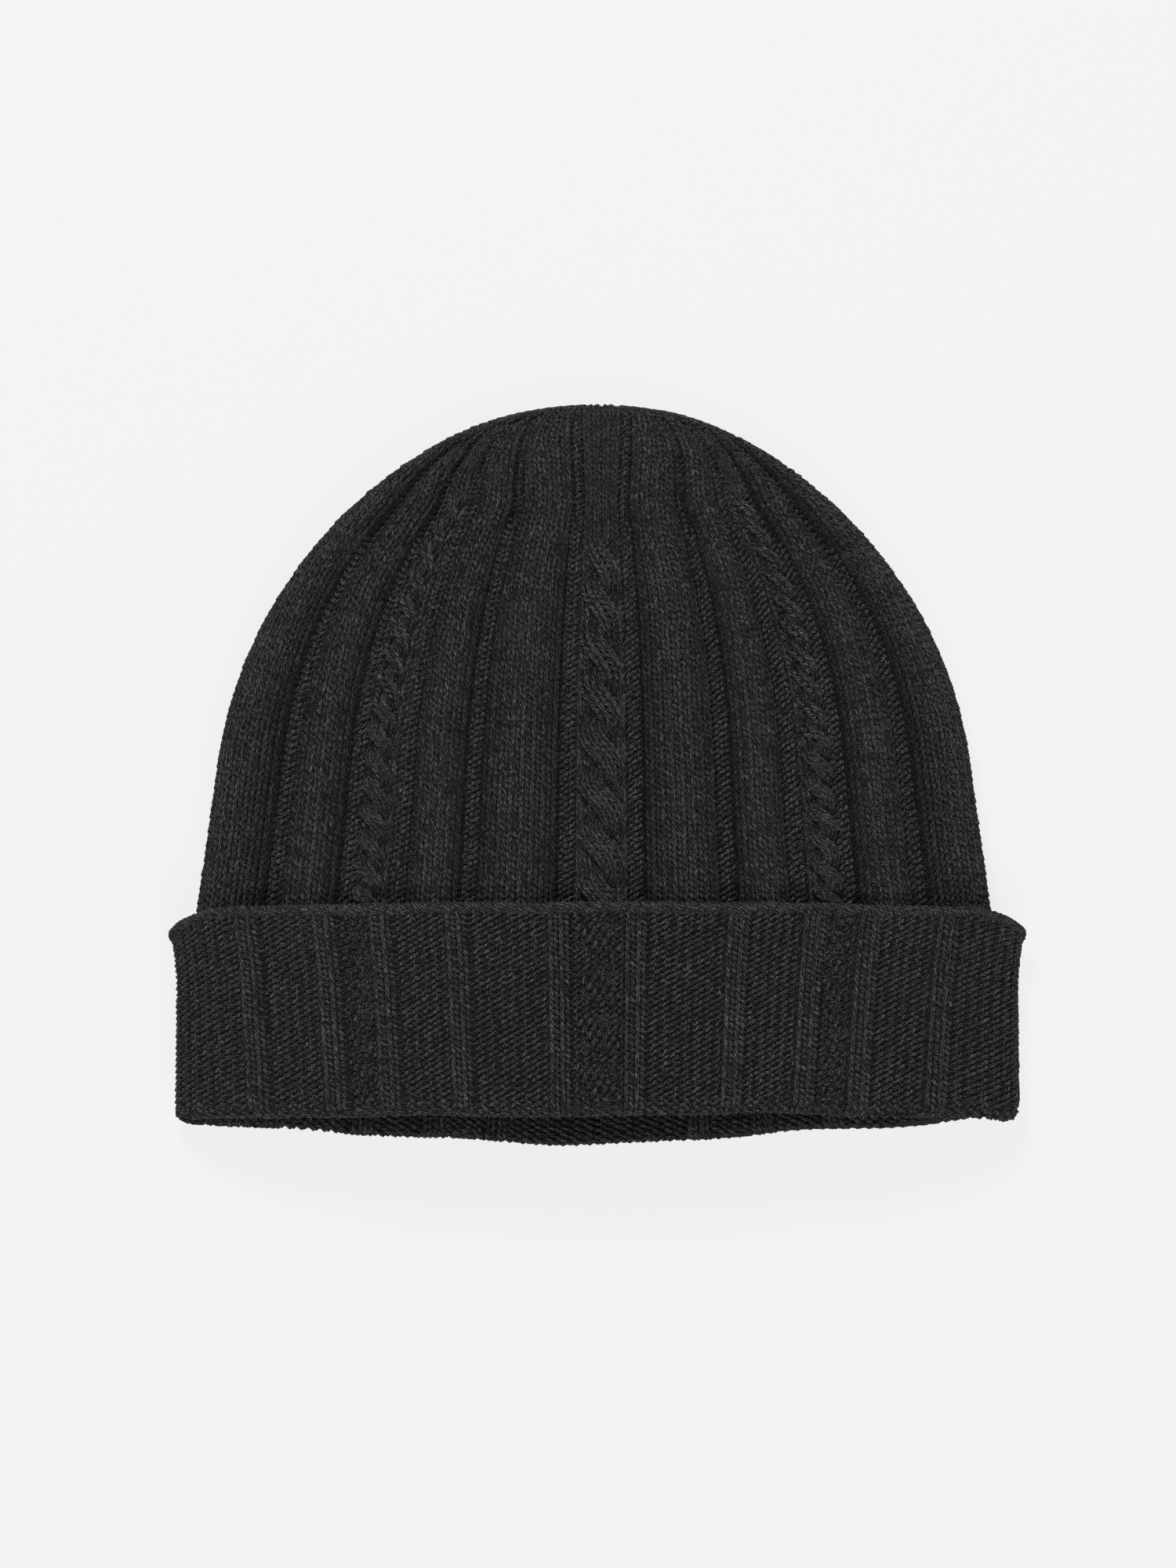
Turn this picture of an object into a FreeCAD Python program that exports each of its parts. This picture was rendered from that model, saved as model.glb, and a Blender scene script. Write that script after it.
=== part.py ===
import FreeCAD, Part
import math
import os

# A knitted cable beanie with a turned-up cuff, lying flat on its back on a table.
# X runs across the hat, +Y runs from the mouth to the crown, +Z points up out of the front.
# The origin is the middle of the hat's footprint, on the table.
#
# The knitted tube is round when worn and is pressed flat here.  So each layer of the fabric
# is drawn as half of the hat's flat outline, revolved about Y like a round cap, and then
# pressed: the front half to its own height and the back half to its own depth.  The same
# press leans each course, because the front edge of the mouth sits higher than the back edge.

doc = FreeCAD.newDocument("beanie")

SIZES = [
    # outline of the flat hat, measured over the ribs
    ("hat_length", 200.5, "fold line to crown, along the side"),
    ("crown_radius", 118.0, "flat top of the outline"),
    ("shoulder_radius", 82.0, "shoulder of the outline"),
    ("crown_turn", 6.0, "degrees that the outline turns on the crown radius"),
    ("shoulder_turn", 29.0, "degrees turned at the end of the shoulder"),
    ("flank_turn", 82.0, "degrees turned at the end of the flank, where the sides run straight"),
    ("body_half_width", 110.9, "half of the flat width just above the cuff"),
    ("mouth_spread", 0.7, "the body is this much wider at the fold, on each side"),
    # how the hat lies
    ("side_height", 9.0, "height of the side folds above the table"),
    ("front_rise", 26.0, "front layer above the side folds, at the cuff"),
    ("back_sag", 17.6, "back layer below the side folds, if no table held it up"),
    ("front_lift", 3.6, "front edge of the mouth, nearer the crown than the sides"),
    ("back_drop", 6.5, "back edge of the mouth, further from the crown than the sides"),
    ("mouth_curve", 1050.0, "radius of the back edge of the mouth, seen from the front"),
    ("settle_length", 17.5, "length over which the back sinks from the cuff to the table"),
    # fabric
    ("panel_wall", 2.4, "thickness of the fabric in the purl gutters"),
    ("rib_height", 1.0, "knit ribs above the purl gutters"),
    # turned-up cuff
    ("cuff_depth", 56.0, "fold to cast-on edge"),
    ("cuff_wall", 3.0, "thickness of the cuff"),
    ("cuff_side_ease", 2.9, "room between the body and the cuff at the side folds"),
    ("cuff_sag", 18.9, "back of the cuff below the side folds, if no table held it up"),
    ("cuff_flare", 1.3, "the cast-on edge stands out wider than the cuff by this"),
    ("flare_length", 18.0, "length of the flared end of the cuff"),
    ("cuff_ease", 0.5, "room between the ribs and the inside of the cuff, in front"),
    ("fold_wall", 3.0, "thickness of the fold that joins the body and the cuff"),
    ("fold_round", 3.2, "rounding of the fold"),
    ("pair_height", 0.8, "knit pairs above the cuff's purl panels"),
    ("pair_width", 5.6, "width of a knit pair"),
    ("edge_width", 3.5, "width of the cast-on edge"),
    ("edge_height", 0.7, "cast-on edge above the cuff"),
    ("edge_gap", 0.3, "room between the cast-on edge and what runs in under it"),
    # cables
    ("wide_cable_height", 2.0, "centre cable above the ribs"),
    ("slim_cable_height", 1.2, "side cables above the ribs"),
    ("wide_cable_pitch", 13.0, "one crossing of the centre cable to the next"),
    ("slim_cable_pitch", 7.0, "one crossing of a side cable to the next"),
    ("wide_cable_start", 38.0, "first crossing of the centre cable, below the crown"),
    ("slim_cable_start", 36.0, "first crossing of a side cable, below the crown"),
    ("wide_groove_radius", 2.6, "rounded valley between crossings of the centre cable"),
    ("slim_groove_radius", 1.6, "rounded valley between crossings of a side cable"),
    ("wide_groove_depth", 1.5, "depth of that valley"),
    ("slim_groove_depth", 0.9, "depth of that valley"),
    ("wide_groove_slant", 10.5, "drop of the valley from the left to the right edge"),
    ("slim_groove_slant", 8.5, "drop of the valley from the left to the right edge"),
    ("rib_end", 7.5, "ribs and gutters run out this far below the crown"),
    # crown and seam
    ("yarn_radius", 1.1, "sewing yarn"),
    ("draw_loop_radius", 2.2, "loop of the draw yarn that closes the crown"),
    ("draw_fit", 0.1, "room round the draw yarn"),
    ("knot_radius", 2.4, "knot of the draw yarn, inside the crown"),
    ("seam_width", 6.0, "seam allowance inside the back"),
    ("seam_height", 1.8, "seam allowance above the inside of the back"),
    ("seam_end", 16.0, "seam allowance ends this far below the crown"),
]

# Shares of the half width, from the centre line outwards, at which the ribs begin and end.
# Every course narrows towards the crown by the same share, so the ribs run along these lines.
FRONT_GUTTERS = [(0.288, 0.355), (0.476, 0.663), (0.790, 0.841)]
FRONT_CENTRE_GUTTER = 0.109
BACK_GUTTERS = [(0.220, 0.275), (0.375, 0.430), (0.550, 0.605), (0.775, 0.830)]
WIDE_CABLE = 0.069
SLIM_CABLE = (0.530, 0.611)
CUFF_PAIRS = [0.100, 0.332, 0.518, 0.648, 0.824]

sheet = doc.addObject("Spreadsheet::Sheet", "Sizes")
for row, (name, number, note) in enumerate(SIZES, start=1):
    sheet.set("A%d" % row, name)
    sheet.set("B%d" % row, "%g" % number)
    sheet.set("C%d" % row, note)
    sheet.setAlias("B%d" % row, name)
doc.recompute()


def size(name):
    """A driving size, read back from the sheet."""
    return float(sheet.get(name))


hat_length = size("hat_length")
side_height = size("side_height")
rib_height = size("rib_height")
body_wall = size("panel_wall") + rib_height
cuff_wall = size("cuff_wall")
body_half_width = size("body_half_width")
mouth_half_width = body_half_width + size("mouth_spread")
cuff_half_width = mouth_half_width + size("cuff_side_ease") + cuff_wall
front_rise = size("front_rise")
back_sag = size("back_sag")

# The hat's footprint is centred: the crown on one side, the back edge of the fold on the other.
crown_y = (hat_length + size("back_drop")) / 2
fold_y = crown_y - hat_length
rim_y = fold_y + size("fold_wall")
cuff_top_y = fold_y + size("cuff_depth")
band_top_y = cuff_top_y - size("edge_width")
ribs_top_y = crown_y - size("rib_end")

# Cutting blocks and forms reach this far past what they cut.
BEYOND = 10.0

# Lean of the courses: shift along Y for each millimetre above or below the side folds.
cuff_front_rise = front_rise + size("cuff_ease") + cuff_wall + size("pair_height")
front_lean = size("front_lift") / cuff_front_rise
back_lean = size("back_drop") / side_height


# ---------------------------------------------------------------- outline of the flat hat
def towards(turn):
    """Unit vector square to the outline where it has turned by this many degrees."""
    angle = math.radians(turn)
    return FreeCAD.Vector(math.sin(angle), math.cos(angle), 0)


def outline_arcs():
    """Centres, radii and end angles of the three tangent arcs, crown to flank."""
    crown_radius = size("crown_radius")
    shoulder_radius = size("shoulder_radius")
    crown_turn = size("crown_turn")
    shoulder_turn = size("shoulder_turn")
    flank_turn = size("flank_turn")
    crown = FreeCAD.Vector(0, crown_y - crown_radius, 0)
    shoulder = crown + towards(crown_turn) * (crown_radius - shoulder_radius)
    # The flank's radius is the one whose straight end reaches the body's width at the cuff.
    begin = shoulder + towards(shoulder_turn) * shoulder_radius
    spread = 1 / math.tan(math.radians(flank_turn))
    swing = towards(flank_turn) - towards(shoulder_turn)
    short = body_half_width - begin.x - (begin.y - cuff_top_y) * spread
    flank_radius = short / (swing.x + swing.y * spread)
    flank = shoulder + towards(shoulder_turn) * (shoulder_radius - flank_radius)
    return [(crown, crown_radius, 0.0, crown_turn),
            (shoulder, shoulder_radius, crown_turn, shoulder_turn),
            (flank, flank_radius, shoulder_turn, flank_turn)]


def on_arc(centre, radius, turn):
    """Point of an arc where the outline has turned by this many degrees."""
    return centre + towards(turn) * radius


def outline_edges(grow, bottom_y):
    """Right half of the outline, moved outwards by grow, from the crown down to bottom_y."""
    edges = []
    for centre, radius, start, end in outline_arcs():
        first = on_arc(centre, radius + grow, start)
        middle = on_arc(centre, radius + grow, (start + end) / 2)
        last = on_arc(centre, radius + grow, end)
        edges.append(Part.Arc(first, middle, last).toShape())
    above_cuff = FreeCAD.Vector(body_half_width + grow, cuff_top_y, 0)
    bottom = FreeCAD.Vector(mouth_half_width + grow, bottom_y, 0)
    edges.append(Part.LineSegment(last, above_cuff).toShape())
    edges.append(Part.LineSegment(above_cuff, bottom).toShape())
    return edges


def half_width(y):
    """Half width of the outline over the ribs, at a place between the cuff and the crown."""
    for centre, radius, start, end in outline_arcs():
        if y >= on_arc(centre, radius, end).y:
            return centre.x + math.sqrt(max(radius ** 2 - (y - centre.y) ** 2, 0.0))
    last = on_arc(centre, radius, end)
    share = (last.y - y) / (last.y - cuff_top_y)
    return last.x + (body_half_width - last.x) * share


# ---------------------------------------------------------------- pressing the round form flat
def pressed(face, front_share, back_share):
    """Revolve a half outline about Y and press its front and back to shares of their height."""
    axis = FreeCAD.Vector(0, 1, 0)
    origin = FreeCAD.Vector(0, 0, 0)
    halves = []
    for turn, share, lean in ((-180, front_share, front_lean), (180, back_share, back_lean)):
        half = face.revolve(origin, axis, turn)
        press = FreeCAD.Matrix(1, 0, 0, 0,
                               0, 1, lean * share, 0,
                               0, 0, share, side_height,
                               0, 0, 0, 1)
        halves.append(half.transformGeometry(press))
    return halves[0].fuse(halves[1]).removeSplitter()


def half_face(edges):
    """Close a half outline along its lower end and the Y axis, and fill it."""
    first = edges[0].Vertexes[0].Point
    last = edges[-1].Vertexes[-1].Point
    corner = FreeCAD.Vector(0, last.y, 0)
    lines = [Part.LineSegment(last, corner).toShape(), Part.LineSegment(corner, first).toShape()]
    return Part.Face(Part.Wire(edges + lines))


def floor_profile(lift):
    """Side view of the surface that the back lies on: the cuff's back, then the table."""
    cuff_end_y = cuff_top_y - back_lean * (side_height - cuff_wall) + size("edge_gap")
    far = hat_length
    return [FreeCAD.Vector(0, -far, cuff_wall + lift),
            FreeCAD.Vector(0, cuff_end_y, cuff_wall + lift),
            FreeCAD.Vector(0, cuff_end_y + size("settle_length"), lift),
            FreeCAD.Vector(0, far, lift)]


def floor_block(points):
    """Solid below a side-view line, as wide as the hat, to cut the back flat with."""
    depth = -2 * back_sag
    ends = [FreeCAD.Vector(0, points[-1].y, depth), FreeCAD.Vector(0, points[0].y, depth)]
    wire = Part.makePolygon(points + ends + [points[0]])
    block = Part.Face(wire).extrude(FreeCAD.Vector(4 * body_half_width, 0, 0))
    block.translate(FreeCAD.Vector(-2 * body_half_width, 0, 0))
    return block


def feature(name, shape):
    obj = doc.addObject("Part::Feature", name)
    obj.Label = name
    obj.Shape = shape
    return obj


def mouth_curve(shrink):
    """Upright round block whose edge is the curved back edge of the mouth, less shrink."""
    radius = size("mouth_curve")
    centre = FreeCAD.Vector(0, fold_y - size("back_drop") + radius, -2 * back_sag)
    return Part.makeCylinder(radius - shrink, 4 * back_sag + 2 * front_rise, centre)


def body_form(name, grow, bottom_y):
    """One surface of the body's fabric: the rib tops at grow 0, deeper layers below 0."""
    face = half_face(outline_edges(grow, bottom_y))
    front_share = (front_rise + grow) / (body_half_width + grow)
    back_share = (back_sag + grow) / (body_half_width + grow)
    solid = pressed(face, front_share, back_share).cut(floor_block(floor_profile(-grow)))
    if bottom_y >= rim_y:
        solid = solid.common(mouth_curve(size("fold_wall")))
    return feature(name, solid)


def boolean(kind, name, base, tool):
    obj = doc.addObject("Part::" + kind, name)
    obj.Label = name
    obj.Base = base
    obj.Tool = tool
    return obj


# ---------------------------------------------------------------- strips along the ribs
def strip_face(inner, outer, low_y, high_y, grow=0.0):
    """Plan outline between two shares of the half width, from low_y up to high_y."""
    sides = []
    for share in (inner, outer):
        squeeze = FreeCAD.Matrix(share, 0, 0, 0, 0, 1, 0, 0, 0, 0, 1, 0, 0, 0, 0, 1)
        edges = [edge.transformGeometry(squeeze) for edge in outline_edges(grow, fold_y)]
        sides.append(Part.Wire(edges))
    window = Part.makePlane(4 * body_half_width, high_y - low_y,
                            FreeCAD.Vector(-2 * body_half_width, low_y, 0))
    first, second = sides
    a, b = first.Vertexes[-1].Point, second.Vertexes[-1].Point
    bottom = Part.LineSegment(b, a).toShape()
    face = Part.Face(Part.Wire(first.Edges + [bottom] + second.Edges))
    return face.common(window)


def strip(name, inner, outer, low_y, high_y, low_z, high_z):
    """Upright block on a strip of the plan, drawn in the sheet's sizes."""
    plan = feature(name + "_plan", strip_face(inner, outer, low_y, high_y))
    plan.Placement.Base.z = low_z
    block = doc.addObject("Part::Extrusion", name)
    block.Base = plan
    block.DirMode = "Custom"
    block.Dir = FreeCAD.Vector(0, 0, 1)
    block.LengthFwd = high_z - low_z
    block.Solid = True
    return block


def both_sides(name, inner, outer, low_y, high_y, low_z, high_z):
    return [strip(name + "_right", inner, outer, low_y, high_y, low_z, high_z),
            strip(name + "_left", -inner, -outer, low_y, high_y, low_z, high_z)]


def compound(name, objects):
    obj = doc.addObject("Part::Compound", name)
    obj.Links = objects
    return obj


top_z = side_height + 2 * front_rise
below_z = -back_sag

# ---------------------------------------------------------------- body panel
rib_form = body_form("rib_form", 0.0, rim_y)
gutter_form = body_form("gutter_form", -rib_height, rim_y)
inside_form = body_form("inside_form", -body_wall, fold_y - BEYOND)

gutters = []
for number, (inner, outer) in enumerate(FRONT_GUTTERS, start=1):
    gutters += both_sides("front_gutter_%d" % number, inner, outer,
                          fold_y, ribs_top_y, side_height, top_z)
gutters.append(strip("front_centre_gutter", -FRONT_CENTRE_GUTTER, FRONT_CENTRE_GUTTER,
                     fold_y, ribs_top_y, side_height, top_z))
for number, (inner, outer) in enumerate(BACK_GUTTERS, start=1):
    gutters += both_sides("back_gutter_%d" % number, inner, outer,
                          fold_y, ribs_top_y, below_z, side_height)
gutter_blocks = compound("gutter_blocks", gutters)

ribs = boolean("Cut", "ribs", rib_form, gutter_blocks)
ribbed_form = boolean("Fuse", "ribbed_form", ribs, gutter_form)
hollow_form = boolean("Cut", "hollow_form", ribbed_form, inside_form)

# The last course is drawn together round the draw yarn, which leaves a small eye at the crown.
draw_tube = size("yarn_radius")
draw_y = crown_y - body_wall / 2 - draw_tube / 2
eye = doc.addObject("Part::Cylinder", "crown_eye")
eye.setExpression("Radius", "Sizes.draw_loop_radius + Sizes.yarn_radius + Sizes.draw_fit")
eye.setExpression("Height", "2 * (Sizes.panel_wall + Sizes.rib_height)")
along_y = FreeCAD.Rotation(FreeCAD.Vector(1, 0, 0), -90)
eye.Placement = FreeCAD.Placement(FreeCAD.Vector(0, crown_y - 1.5 * body_wall, side_height), along_y)
body_panel = boolean("Cut", "body_panel", hollow_form, eye)


# ---------------------------------------------------------------- cables
def surface_point(share, y, height):
    """Point above the front, at a share of the half width and a height over the ribs."""
    width = half_width(y)
    rise = (front_rise / body_half_width) * width * math.sqrt(1 - share ** 2)
    return FreeCAD.Vector(share * width, y, side_height + rise + height)


def valley(name, inner, outer, y, slant, kind):
    """Round bar across a cable, lying in the valley between two crossings."""
    lift = size(kind + "_cable_height") + size(kind + "_groove_radius") - size(kind + "_groove_depth")
    left, right = min(inner, outer), max(inner, outer)
    start = surface_point(left, y + slant / 2, lift)
    end = surface_point(right, y - slant / 2, lift)
    run = end - start
    bar = doc.addObject("Part::Cylinder", name)
    bar.setExpression("Radius", "Sizes.%s_groove_radius" % kind)
    bar.Height = 2 * run.Length
    bar.Placement = FreeCAD.Placement(start - run / 2,
                                      FreeCAD.Rotation(FreeCAD.Vector(0, 0, 1), run))
    return bar


def cable(name, inner, outer, kind):
    """Rope cable along a strip of the front: a plain head at the crown, then crossings."""
    start_y = crown_y - size(kind + "_cable_start")
    low_y = cuff_top_y + size("front_lift") + size("edge_gap")
    head = boolean("Common", name + "_head", rib_form,
                   strip(name + "_head_strip", inner, outer, low_y, ribs_top_y, side_height, top_z))
    rope = boolean("Common", name + "_rope", raised_forms[kind],
                   strip(name + "_rope_strip", inner, outer, low_y, start_y, side_height, top_z))
    whole = boolean("Fuse", name + "_whole", head, rope)
    on_panel = boolean("Cut", name + "_on_panel", whole, gutter_form)
    pitch = size(kind + "_cable_pitch")
    bars = []
    y = start_y - pitch
    while y > low_y + pitch / 4:
        bars.append(valley("%s_valley_%d" % (name, len(bars) + 1), inner, outer, y,
                           size(kind + "_groove_slant"), kind))
        y -= pitch
    return boolean("Cut", name, on_panel, compound(name + "_valleys", bars))


raised_forms = {}
for kind in ("wide", "slim"):
    raised_forms[kind] = body_form(kind + "_cable_form", size(kind + "_cable_height"), rim_y)
centre_cable = cable("centre_cable", -WIDE_CABLE, WIDE_CABLE, "wide")
cable_right = cable("cable_right", SLIM_CABLE[0], SLIM_CABLE[1], "slim")
cable_left = cable("cable_left", -SLIM_CABLE[0], -SLIM_CABLE[1], "slim")


# ---------------------------------------------------------------- turned-up cuff
def cuff_edges(grow, bottom_y, top_y, rounding):
    """Right half of the cuff's outline, moved outwards by grow, from top_y to bottom_y."""
    width = cuff_half_width + grow
    flare_y = cuff_top_y - size("flare_length")
    slope = size("cuff_flare") / size("flare_length")
    heights = [top_y] + [y for y in (flare_y,) if bottom_y < y < top_y] + [bottom_y + rounding]
    points = [FreeCAD.Vector(0, top_y, 0)]
    points += [FreeCAD.Vector(width + slope * max(y - flare_y, 0.0), y, 0) for y in heights]
    edges = [Part.LineSegment(a, b).toShape() for a, b in zip(points, points[1:])]
    if rounding:
        low = points[-1]
        end = FreeCAD.Vector(low.x - rounding, bottom_y, 0)
        middle = FreeCAD.Vector(end.x, low.y, 0) + FreeCAD.Vector(1, -1, 0) * rounding * math.sqrt(0.5)
        edges.append(Part.Arc(low, middle, end).toShape())
    return edges


def cuff_form(name, grow, bottom_y, top_y, rounding, lift, end_wall):
    """One surface of the cuff: grow 0 is the level of the purl panels."""
    face = half_face(cuff_edges(grow, bottom_y, top_y, rounding))
    width = cuff_half_width + grow
    rise = front_rise + size("cuff_ease") + cuff_wall + grow
    sag = size("cuff_sag") + grow
    solid = pressed(face, rise / width, sag / width)
    table = Part.makeBox(4 * width, 4 * hat_length, 4 * side_height,
                         FreeCAD.Vector(-2 * width, -2 * hat_length, lift - 4 * side_height))
    return feature(name, solid.cut(table).common(mouth_curve(end_wall)))


fold_round = size("fold_round")
pair_height = size("pair_height")
panel_form = cuff_form("cuff_panel_form", 0.0, fold_y, band_top_y, fold_round, 0.0, 0.0)
pair_form = cuff_form("cuff_pair_form", pair_height, fold_y, band_top_y, fold_round, 0.0, 0.0)
cuff_room = cuff_form("cuff_room", -cuff_wall, rim_y, cuff_top_y + BEYOND, 0.0, cuff_wall,
                      size("fold_wall"))

# The knit pairs start where the fold's rounding ends, at the height of the front's own lean.
pair_low_y = fold_y + fold_round + size("front_lift")
pairs = []
for number, share in enumerate(CUFF_PAIRS, start=1):
    for side, sign in (("right", 1), ("left", -1)):
        middle = sign * share * cuff_half_width
        block = doc.addObject("Part::Box", "cuff_pair_%d_%s" % (number, side))
        block.setExpression("Length", "Sizes.pair_width")
        block.Width = cuff_top_y - pair_low_y
        block.Height = top_z
        corner = FreeCAD.Vector(middle - size("pair_width") / 2, pair_low_y, side_height)
        block.Placement.Base = corner
        pairs.append(block)
pair_blocks = compound("cuff_pair_blocks", pairs)
knit_pairs = boolean("Common", "knit_pairs", pair_form, pair_blocks)
ribbed_cuff = boolean("Fuse", "ribbed_cuff", panel_form, knit_pairs)
hollow_cuff = boolean("Cut", "hollow_cuff", ribbed_cuff, cuff_room)
turned_cuff = boolean("Cut", "turned_cuff", hollow_cuff, inside_form)

edge_form = cuff_form("edge_form", size("edge_height"), band_top_y, cuff_top_y, 0.0, 0.0, 0.0)
cast_on_edge = boolean("Cut", "cast_on_edge", edge_form, cuff_room)

# ---------------------------------------------------------------- seam and draw yarn
# The two edges of the panel are sewn together up the middle of the back, on the inside.
seam_body = doc.addObject("PartDesign::Body", "back_seam")
seam_body.Label = "back_seam"
seam_sketch = seam_body.newObject("Sketcher::SketchObject", "seam_side_view")
side_plane = [f for f in seam_body.Origin.OriginFeatures if f.Role == "YZ_Plane"][0]
seam_sketch.AttachmentSupport = [(side_plane, "")]
seam_sketch.MapMode = "FlatFace"
floor_line = floor_profile(body_wall)
seam_low_y = rim_y - back_lean * (side_height - floor_line[0].z)
seam_high_y = crown_y - size("seam_end")
seam_line = [FreeCAD.Vector(seam_low_y, floor_line[0].z, 0)]
seam_line += [FreeCAD.Vector(p.y, p.z, 0) for p in floor_line[1:3]]
seam_line.append(FreeCAD.Vector(seam_high_y, floor_line[3].z, 0))
seam_raised = [p + FreeCAD.Vector(0, size("seam_height"), 0) for p in reversed(seam_line)]
corners = seam_line + seam_raised
for a, b in zip(corners, corners[1:] + corners[:1]):
    seam_sketch.addGeometry(Part.LineSegment(a, b), False)
seam_pad = seam_body.newObject("PartDesign::Pad", "seam_pad")
seam_pad.Profile = seam_sketch
seam_pad.setExpression("Length", "Sizes.seam_width")
seam_pad.Midplane = True

draw_yarn = doc.addObject("Part::Torus", "crown_draw_yarn")
draw_yarn.Label = "crown_draw_yarn"
draw_yarn.setExpression("Radius1", "Sizes.draw_loop_radius")
draw_yarn.setExpression("Radius2", "Sizes.yarn_radius")
draw_yarn.Placement = FreeCAD.Placement(FreeCAD.Vector(0, draw_y, side_height), along_y)

knot = doc.addObject("Part::Sphere", "draw_yarn_knot")
knot.Label = "draw_yarn_knot"
knot.setExpression("Radius", "Sizes.knot_radius")
knot.Placement.Base = FreeCAD.Vector(0, draw_y - draw_tube - size("knot_radius"), side_height)
doc.recompute()

# ---------------------------------------------------------------- write the pieces
PIECES = [body_panel, centre_cable, cable_left, cable_right, turned_cuff, cast_on_edge,
          seam_body, draw_yarn, knot]
for obj in doc.Objects:
    if "Invalid" in obj.State or "Error" in obj.State:
        raise RuntimeError("%s did not build: %s" % (obj.Name, obj.State))
os.makedirs("parts", exist_ok=True)
for piece in PIECES:
    shape = piece.Shape
    if shape.isNull() or not shape.isValid() or len(shape.Solids) != 1:
        raise RuntimeError("%s is not one valid solid" % piece.Label)
    box = shape.optimalBoundingBox(False)
    print("%-16s %9.1f mm3  %d faces  x %.1f..%.1f  y %.1f..%.1f  z %.1f..%.1f" % (
        piece.Label, shape.Volume, len(shape.Faces),
        box.XMin, box.XMax, box.YMin, box.YMax, box.ZMin, box.ZMax))
    shape.exportStep("parts/%s.step" % piece.Label)
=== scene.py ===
import math
from collections import namedtuple
import bpy
import numpy as np
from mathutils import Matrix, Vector


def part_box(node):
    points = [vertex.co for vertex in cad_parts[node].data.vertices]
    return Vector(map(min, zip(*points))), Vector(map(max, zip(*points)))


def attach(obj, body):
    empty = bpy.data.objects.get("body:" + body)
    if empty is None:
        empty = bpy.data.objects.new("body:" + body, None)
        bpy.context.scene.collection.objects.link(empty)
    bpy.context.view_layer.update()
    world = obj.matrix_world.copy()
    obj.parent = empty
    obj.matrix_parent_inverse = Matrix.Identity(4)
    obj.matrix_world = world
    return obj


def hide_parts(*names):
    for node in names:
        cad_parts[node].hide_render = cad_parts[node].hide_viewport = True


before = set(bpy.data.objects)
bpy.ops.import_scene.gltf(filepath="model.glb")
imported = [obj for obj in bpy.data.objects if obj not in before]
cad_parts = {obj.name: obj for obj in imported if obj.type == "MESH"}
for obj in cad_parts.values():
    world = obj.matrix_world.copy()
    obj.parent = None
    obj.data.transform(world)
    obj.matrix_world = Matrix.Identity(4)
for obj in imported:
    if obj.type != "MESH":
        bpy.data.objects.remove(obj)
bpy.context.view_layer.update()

# A knitted cable beanie, lying flat on its back.  The CAD solids give its form; here the
# fabric is knitted stitch by stitch, as yarns that follow the same surfaces.
# All sizes are in millimetres until a mesh is made, and MM turns them into metres.
MM = 0.001
rng = np.random.default_rng(7)


def node_box(name):
    """Low and high corner of a CAD node."""
    low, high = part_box(name)
    return [v / MM for v in low], [v / MM for v in high]


# ---------------------------------------------------------------- the form, as in the CAD source
CROWN_Y = node_box("body_panel")[1][1]
HAT_LENGTH, CUFF_DEPTH = 200.5, 56.0
FOLD_Y = CROWN_Y - HAT_LENGTH
CUFF_TOP_Y = FOLD_Y + CUFF_DEPTH
CROWN_RADIUS, SHOULDER_RADIUS = 118.0, 82.0
CROWN_TURN, SHOULDER_TURN, FLANK_TURN = 6.0, 29.0, 82.0
BODY_HALF_WIDTH = 110.9
MOUTH_SPREAD, SPREAD_BELOW = 0.7, 8.0        # the body is this much wider, this far below the fold
SIDE_HEIGHT = 9.0
FRONT_RISE, BACK_SAG = 26.0, 17.6
CUFF_HALF_WIDTH = 117.5
CUFF_RISE, CUFF_SAG = 29.5, 18.9
CUFF_WALL = 3.0
CUFF_FLARE, FLARE_LENGTH = 1.3, 18.0
FRONT_LIFT, FRONT_HEIGHT = 3.6, 30.3         # front edge of the mouth: nearer the crown, over the sides
BACK_DROP = 6.5
FRONT_LEAN, BACK_LEAN = FRONT_LIFT / FRONT_HEIGHT, BACK_DROP / SIDE_HEIGHT
MOUTH_CURVE = 1050.0
SETTLE = (CUFF_TOP_Y - 4.03, CUFF_TOP_Y + 13.5)       # the back sinks from the cuff to the table here

# ---------------------------------------------------------------- how the hat was laid down
RIGHT_LIFT, RIGHT_START, RIGHT_END = 1.8, 15.0, 50.0            # the back edge stands higher at its right
CORNER_FLARE, CORNER_DROP, CORNER = 0.3, 4.5, 14.0              # free edge of the cuff at its corners
CORNER_START = CUFF_HALF_WIDTH - 13.5
SHIFT, WIDEN, UPPER_WIDEN = 0.1, 1.0145, 0.0065                 # the hat is a little wider than the solids
CENTRE_SHIFT, SIDE_SHIFT = 1.3, 0.9          # above the cuff its front lies to the right, its sides left
CENTRE_MORE, CENTRE_REACH = 0.6, 22.0        # and the centre cable goes further than the rest
CROWN_STRETCH, STRETCH_START, STRETCH_END = 0.9, CROWN_Y - 63.5, CROWN_Y - 3.5
MOUTH_HANG, HANG_START, MOUTH_END = 1.5, FOLD_Y + 39.0, FOLD_Y + 5.0            # the mouth hangs lower
EDGE_WAVE, WAVE_START = 0.55, FOLD_Y + 21.0                     # and its edges wave
FRONT_ROW, BACK_ROW, EDGE_SEED = 40.0, -60.0, 5                 # the two edges wave apart
RIPPLE, RIPPLE_SEED = 0.25, 3                                   # unevenness of the front's height

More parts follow.
